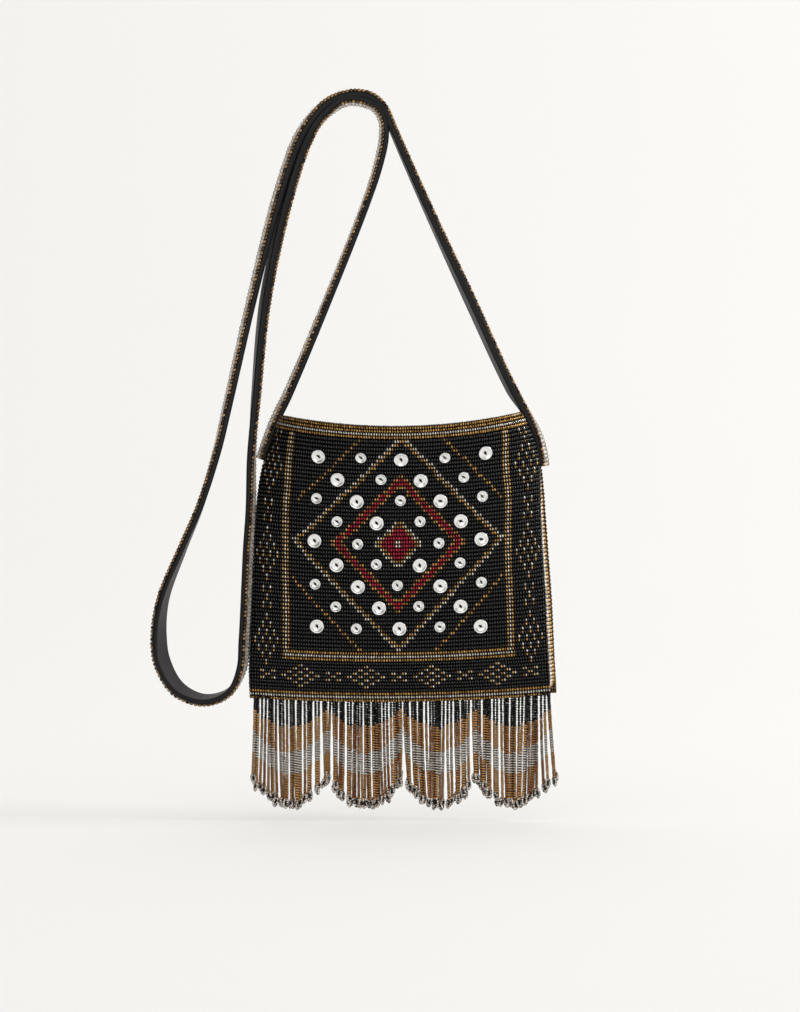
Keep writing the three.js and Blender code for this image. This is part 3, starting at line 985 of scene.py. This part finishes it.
def smooth_route(rows):
    """A centripetal curve through the strap's points, with twist and thickness carried along."""
    points = rows[:, :3]
    ends = np.vstack((2 * points[0] - points[1], points, 2 * points[-1] - points[-2]))
    gap = np.linalg.norm(np.diff(ends, axis=0), axis=1)[:, None] ** 0.5
    d0, d1, d2 = gap[:-2], gap[1:-1], gap[2:]
    p0, p1, p2, p3 = ends[:-3], ends[1:-2], ends[2:-1], ends[3:]
    leave = d1 * ((p1 - p0) / d0 - (p2 - p0) / (d0 + d1) + (p2 - p1) / d1)
    arrive = d1 * ((p2 - p1) / d1 - (p3 - p1) / (d1 + d2) + (p3 - p2) / d2)
    t = np.linspace(0, 1, ROUTE_STEPS, endpoint=False)[None, :, None]
    p1, p2, leave, arrive = (part[:, None] for part in (p1, p2, leave, arrive))
    square = 3 * (p2 - p1) - 2 * leave - arrive
    cube = 2 * (p1 - p2) + leave + arrive
    curve = p1 + t * leave + t * t * square + t ** 3 * cube
    carried = rows[:-1, None, 3:] * (1 - t) + rows[1:, None, 3:] * t
    line = np.concatenate((curve, carried), axis=-1).reshape(-1, rows.shape[1])
    return np.vstack((line, rows[-1]))


def strap_frame(line):
    """Middle, across and outward directions and extra thickness along the strap, beaded side outward."""
    middle = line[:, :3]
    turn = np.radians(line[:, 3:4])
    along = unit(np.gradient(middle, axis=0))
    beaded = unit(np.cross(along, np.array((0.0, 1.0, 0.0))))
    flat = np.cross(beaded, along)
    across = flat * np.cos(turn) + beaded * np.sin(turn)
    outward = beaded * np.cos(turn) - flat * np.sin(turn)
    return middle, across, outward, line[:, 4:]


def leather_profile():
    """Round-edged section of the leather: shares of the half width, heights in millimetres, and painted
    sheen.
    """
    right = np.array(LEATHER_SECTION) - (0.0, STRAP_THICKNESS / 2, 0.0)
    left = right[::-1] * (-1.0, 1.0, 1.0)
    return np.concatenate((left, right))


def strap():
    """One long leather strip with a beaded outer face."""
    line = smooth_route(STRAP_ROUTE)
    whole = np.vstack((line[0], evenly(line, LEATHER_STEP), line[-1]))
    middle, across, outward, extra = strap_frame(whole)
    profile = leather_profile()
    height = profile[:, 1:2]
    side = np.sign(height + (STRAP_THICKNESS - LEATHER_THICKNESS) / 2)
    rings = (middle[:, None]
             + across[:, None] * (profile[None, :, :1] * STRAP_WIDTH / 2)
             + outward[:, None] * (height[None] + side[None] * extra[:, None]))
    # The leather's inner face carries a painted sheen that lightens it
    painted_sheen = {"face": np.tile(profile[:, 2], len(rings))}
    leather = tube_piece("strap_leather", rings, LEATHER, painted_sheen)
    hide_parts("strap")
    middle, across, outward, extra = strap_frame(evenly(line, TAPE_PITCH))
    top = middle + outward * (STRAP_THICKNESS / 2 + extra)
    half = across * STRAP_WIDTH / 2
    depth = STRAP_BEAD_DEPTH
    tape_beads("strap", top - half, top + half, outward, depth / 2, depth,
               STRAP_RIM, STRAP_BEADS, STRAP_SILVER_BEADS)


def strand(place, back, lean):
    """One string: rows of place and tone, and the number of the band of colour that each bead is in."""
    x = FRINGE_MIDDLE_X + FRINGE_WIDTH * (place - 0.5) + chance.normal(0, STRAND_UNEVEN)
    top = base_height(x) + STRAND_RISE
    valley = (2 * ((place * SCALLOPS) % 1) - 1) ** 2
    ends = np.array([middle + (edge - middle) * valley for _, middle, edge in STRAND_BANDS])
    ends = ends + chance.normal(0, BAND_UNEVEN, len(ends))
    phase = (place * STRAND_COUNT * STRAND_SLANT) % 1
    z = np.arange(top - STRAND_BEAD_PITCH * phase, ends[-1], -STRAND_BEAD_PITCH)
    way = (top - z) / (top - ends[-1])
    lean = lean + chance.normal(0, STRAND_LEAN) + np.interp(place, *END_LEAN.T)
    bow = chance.normal(0, STRAND_BOW)
    # Strands behind get painted shade: a darker range of tone
    tone = chance.random() * (BACK_STRAND_PAINTED_SHADE if back else 1.0)
    sway = chance.normal(0, STRAND_SWAY)
    rows = np.stack((
        x + lean * way ** STRAND_LEAN_POWER + bow * np.sin(math.pi * way),
        FRINGE_Y + (BACK_STRAND_STEP if back else 0.0) + sway * way,
        z,
        np.clip(tone + chance.normal(0, STRAND_TONE_SPREAD, len(z)), 0, 1),
    ), axis=-1)
    return rows, np.minimum(np.searchsorted(-ends, -z), len(ends) - 1)


def fringe():
    """Strings of small beads in bands of colour, each ending in a ring of pale beads."""
    front = (np.arange(STRAND_COUNT) + 0.5) / STRAND_COUNT
    back_count = int(STRAND_COUNT * BACK_STRAND_SHARE)
    gaps = np.floor((np.arange(back_count) + chance.random(back_count)) / BACK_STRAND_SHARE)
    places = np.concatenate((front, (gaps + 1) / STRAND_COUNT))
    wander = chance.normal(0, 1, STRAND_COUNT + DRIFT_WINDOW - 1)
    drift = np.convolve(wander, np.ones(DRIFT_WINDOW) / DRIFT_WINDOW, mode="valid") * STRAND_DRIFT
    found = {"black": [], "bronze": [], "taupe": [], "tips": []}
    for number, place in enumerate(places):
        rows, band = strand(place, number >= STRAND_COUNT, np.interp(place, front, drift))
        for step, (colour, _, _) in enumerate(STRAND_BANDS):
            found[colour].append(rows[band == step])
        ring, painted_shade_beads = tip_ring(rows[-1, :3])
        found["tips"].append(ring)
        # The beads inside each ring are black: painted shade in its hole
        found["black"].append(painted_shade_beads)
    size = (STRAND_BEAD_PITCH * BEAD_FILL, STRAND_WIDTH, STRAND_WIDTH)
    for colour, material, slot, end in (
        ("black", STRAND_BLACK_BEADS, "black_beads", STRAND_BLACK_BEAD_END),
        ("bronze", BRONZE_BEADS, "bronze_beads", STRAND_BEAD_END),
        ("taupe", TAUPE_BEADS, None, STRAND_BEAD_END),
    ):
        spots = hung_spots(np.concatenate(found[colour]), size, STRAND_JITTER)
        beads(f"fringe_{colour}_beads", spots, material, end=end, shade=STRAND_SHADE)
    size = (TIP_BEAD * TIP_BEAD_FILL, TIP_BEAD, TIP_BEAD)
    beads("fringe_tip_beads", hung_spots(np.concatenate(found["tips"]), size, TIP_JITTER), TAUPE_BEADS)
    head()


def tip_ring(end):
    """Rows of place and tone: a ring of beads under a strand's last bead, and beads inside it that paint
    the shade in its hole.
    """
    turn = chance.uniform(-TIP_TURN, TIP_TURN)
    flat = np.array((math.cos(turn), math.sin(turn), 0))
    lean = np.array((*(chance.normal(0, spread) for spread in TIP_LEAN), -1))
    rings = []
    for part in (TIP_RING, TIP_PAINTED_SHADE):
        places = [end + flat * side + lean * down for side, down in part]
        rings.append(np.column_stack((places, chance.random(len(part)))))
    return rings


def hung_spots(rows, size, unevenness):
    """Beads on hanging strings, from rows of place and tone."""
    count = len(rows)
    spots = {
        "middle": rows[:, :3],
        "tint": rows[:, 3],
        "axis": np.tile((0.0, 0.0, -1.0), (count, 1)),
        "normal": np.tile((0.0, -1.0, 0.0), (count, 1)),
        "sizes": np.tile(size, (count, 1)),
    }
    return jitter(spots, *unevenness)


def head():
    """The narrow tape behind the front panel's last row that the strands hang from."""
    x = np.linspace(-0.5, 0.5, HEAD_STEPS + 1) * (STRAND_COUNT - 1) * STRAND_PITCH + FRINGE_MIDDLE_X
    near, far = HEAD_DEPTHS
    top = base_height(x) + HEAD_RISE
    rings = np.stack([
        np.stack((x, np.full_like(x, FRINGE_Y + depth), top - height), axis=-1)
        for depth, height in ((near, 0), (far, 0), (far, HEAD_HEIGHT), (near, HEAD_HEIGHT))
    ], axis=1)
    tape = tube_piece("fringe_head", rings, CLOTH)
    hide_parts("fringe")


def disc_place(node):
    """Where a sewn disc lies: the middle of its back, the way it faces and its radius, in millimetres."""
    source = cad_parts[node]
    points = np.array([source.matrix_world @ vertex.co for vertex in source.data.vertices]) / MM
    middle = points.mean(axis=0)
    facing = np.linalg.svd(points - middle)[2][2]
    facing = facing if facing[1] < 0 else -facing
    height = (points - middle) @ facing
    radius = np.linalg.norm(points - middle - height[:, None] * facing, axis=1).max()
    return middle + facing * height.min(), facing, radius


def discs():
    """Round metal discs, cupped and rimmed, each held by a stitch through its hole."""
    profile = np.array(DISC_PROFILE)
    turn = np.arange(DISC_SEGMENTS) * 2 * math.pi / DISC_SEGMENTS
    ring, corner = (part.ravel() for part in np.mgrid[0:len(profile), 0:DISC_SEGMENTS])
    after = (ring + 1) % len(profile)
    beside = (corner + 1) % DISC_SEGMENTS
    faces = np.stack((
        ring * DISC_SEGMENTS + corner,
        ring * DISC_SEGMENTS + beside,
        after * DISC_SEGMENTS + beside,
        after * DISC_SEGMENTS + corner,
    ), axis=1)[:, ::-1]
    stitches = {"middle": [], "axis": [], "normal": []}
    names = sorted(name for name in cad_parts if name.startswith("stud_"))
    for node in names:
        back, facing, radius = disc_place(node)
        right = unit(np.cross(facing, np.array((0.0, 0.0, 1.0))))
        up = np.cross(right, facing)
        spokes = right[None] * np.cos(turn)[:, None] + up[None] * np.sin(turn)[:, None]
        points = (back + spokes[None] * (profile[:, :1] * radius)[:, None]
                  + facing * profile[:, 1:][:, None])
        piece = mesh_piece(node + "_disc", points.reshape(-1, 3), [faces], DISC_METAL)
        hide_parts(node)
        slant = chance.normal(*STITCH_SLANT)
        stitches["middle"].append(back + facing * STITCH_HEIGHT)
        stitches["axis"].append(right * math.cos(slant) + up * math.sin(slant))
        stitches["normal"].append(facing)
    spots = {key: np.array(value) for key, value in stitches.items()}
    spots["sizes"] = np.tile(STITCH_SIZE, (len(names), 1))
    beads("disc_stitches", spots, THREAD)


# Floor, light and camera


def studio_floor():
    """A pale floor that sweeps up into the background."""
    sweep = np.linspace(0, math.pi / 2, SWEEP_STEPS + 1)
    bend_depth = FLOOR_BACK - SWEEP_RADIUS * (1 - np.sin(sweep))
    bend_height = SWEEP_RADIUS * (1 - np.cos(sweep))
    depth = np.concatenate(((FLOOR_FRONT,), bend_depth, (FLOOR_BACK,)))
    height = np.concatenate(((0.0,), bend_height, (FLOOR_HEIGHT,)))
    sides = (-FLOOR_HALF_WIDTH, FLOOR_HALF_WIDTH)
    points = [(x, y, FLOOR_Z + z) for y, z in zip(depth, height) for x in sides]
    faces = [(2 * k, 2 * k + 1, 2 * k + 3, 2 * k + 2) for k in range(len(depth) - 1)]
    mesh = bpy.data.meshes.new("studio_floor")
    mesh.from_pydata(points, [], faces)
    mesh.polygons.foreach_set("use_smooth", [True] * len(faces))
    mesh.materials.append(floor_material())
    floor = bpy.data.objects.new("studio_floor", mesh)
    bpy.context.collection.objects.link(floor)


def soft_light(name, place, aim, size, power, tone):
    """A flat lamp that the camera doesn't see."""
    data = bpy.data.lights.new(name, "AREA")
    data.shape = "RECTANGLE"
    data.size, data.size_y = size
    data.energy = power
    data.color = tone
    light = bpy.data.objects.new(name, data)
    light.visible_camera = False
    light.location = place
    light.rotation_euler = (Vector(aim) - Vector(place)).to_track_quat("-Z", "Y").to_euler()
    bpy.context.collection.objects.link(light)
    return light


def lights():
    """Soft lamps round the bag, one of them seen only in gloss, and an even pale surround."""
    scene = bpy.context.scene
    scene.view_settings.view_transform = "Standard"
    world = bpy.data.worlds.new("studio")
    world.use_nodes = True
    background = world.node_tree.nodes["Background"]
    background.inputs["Color"].default_value = WORLD_TONE
    background.inputs["Strength"].default_value = WORLD_STRENGTH
    world.cycles_visibility.glossy = False
    scene.world = world
    for name, place, aim, size, power, tone in LIGHTS:
        light = soft_light(name, place, aim, size, power, tone)
        light.visible_diffuse = name != GLOSS_LIGHT


def camera():
    """Nearly level with the bag, from a little above its middle."""
    data = bpy.data.cameras.new("camera")
    data.sensor_fit = "VERTICAL"
    data.sensor_height = SENSOR_HEIGHT
    data.lens = VIEW_LENS
    data.clip_end = CLIP_END
    viewer = bpy.data.objects.new("camera", data)
    tilt = math.radians(VIEW_ELEVATION)
    viewer.location = Vector(VIEW_CENTRE) + VIEW_DISTANCE * Vector((0, -math.cos(tilt), math.sin(tilt)))
    viewer.rotation_euler = (math.pi / 2 - tilt, 0, 0)
    bpy.context.collection.objects.link(viewer)
    bpy.context.scene.camera = viewer


panel("front", front_chart())
panel("back", back_chart())
gusset()
strap()
fringe()
discs()
studio_floor()
lights()
camera()
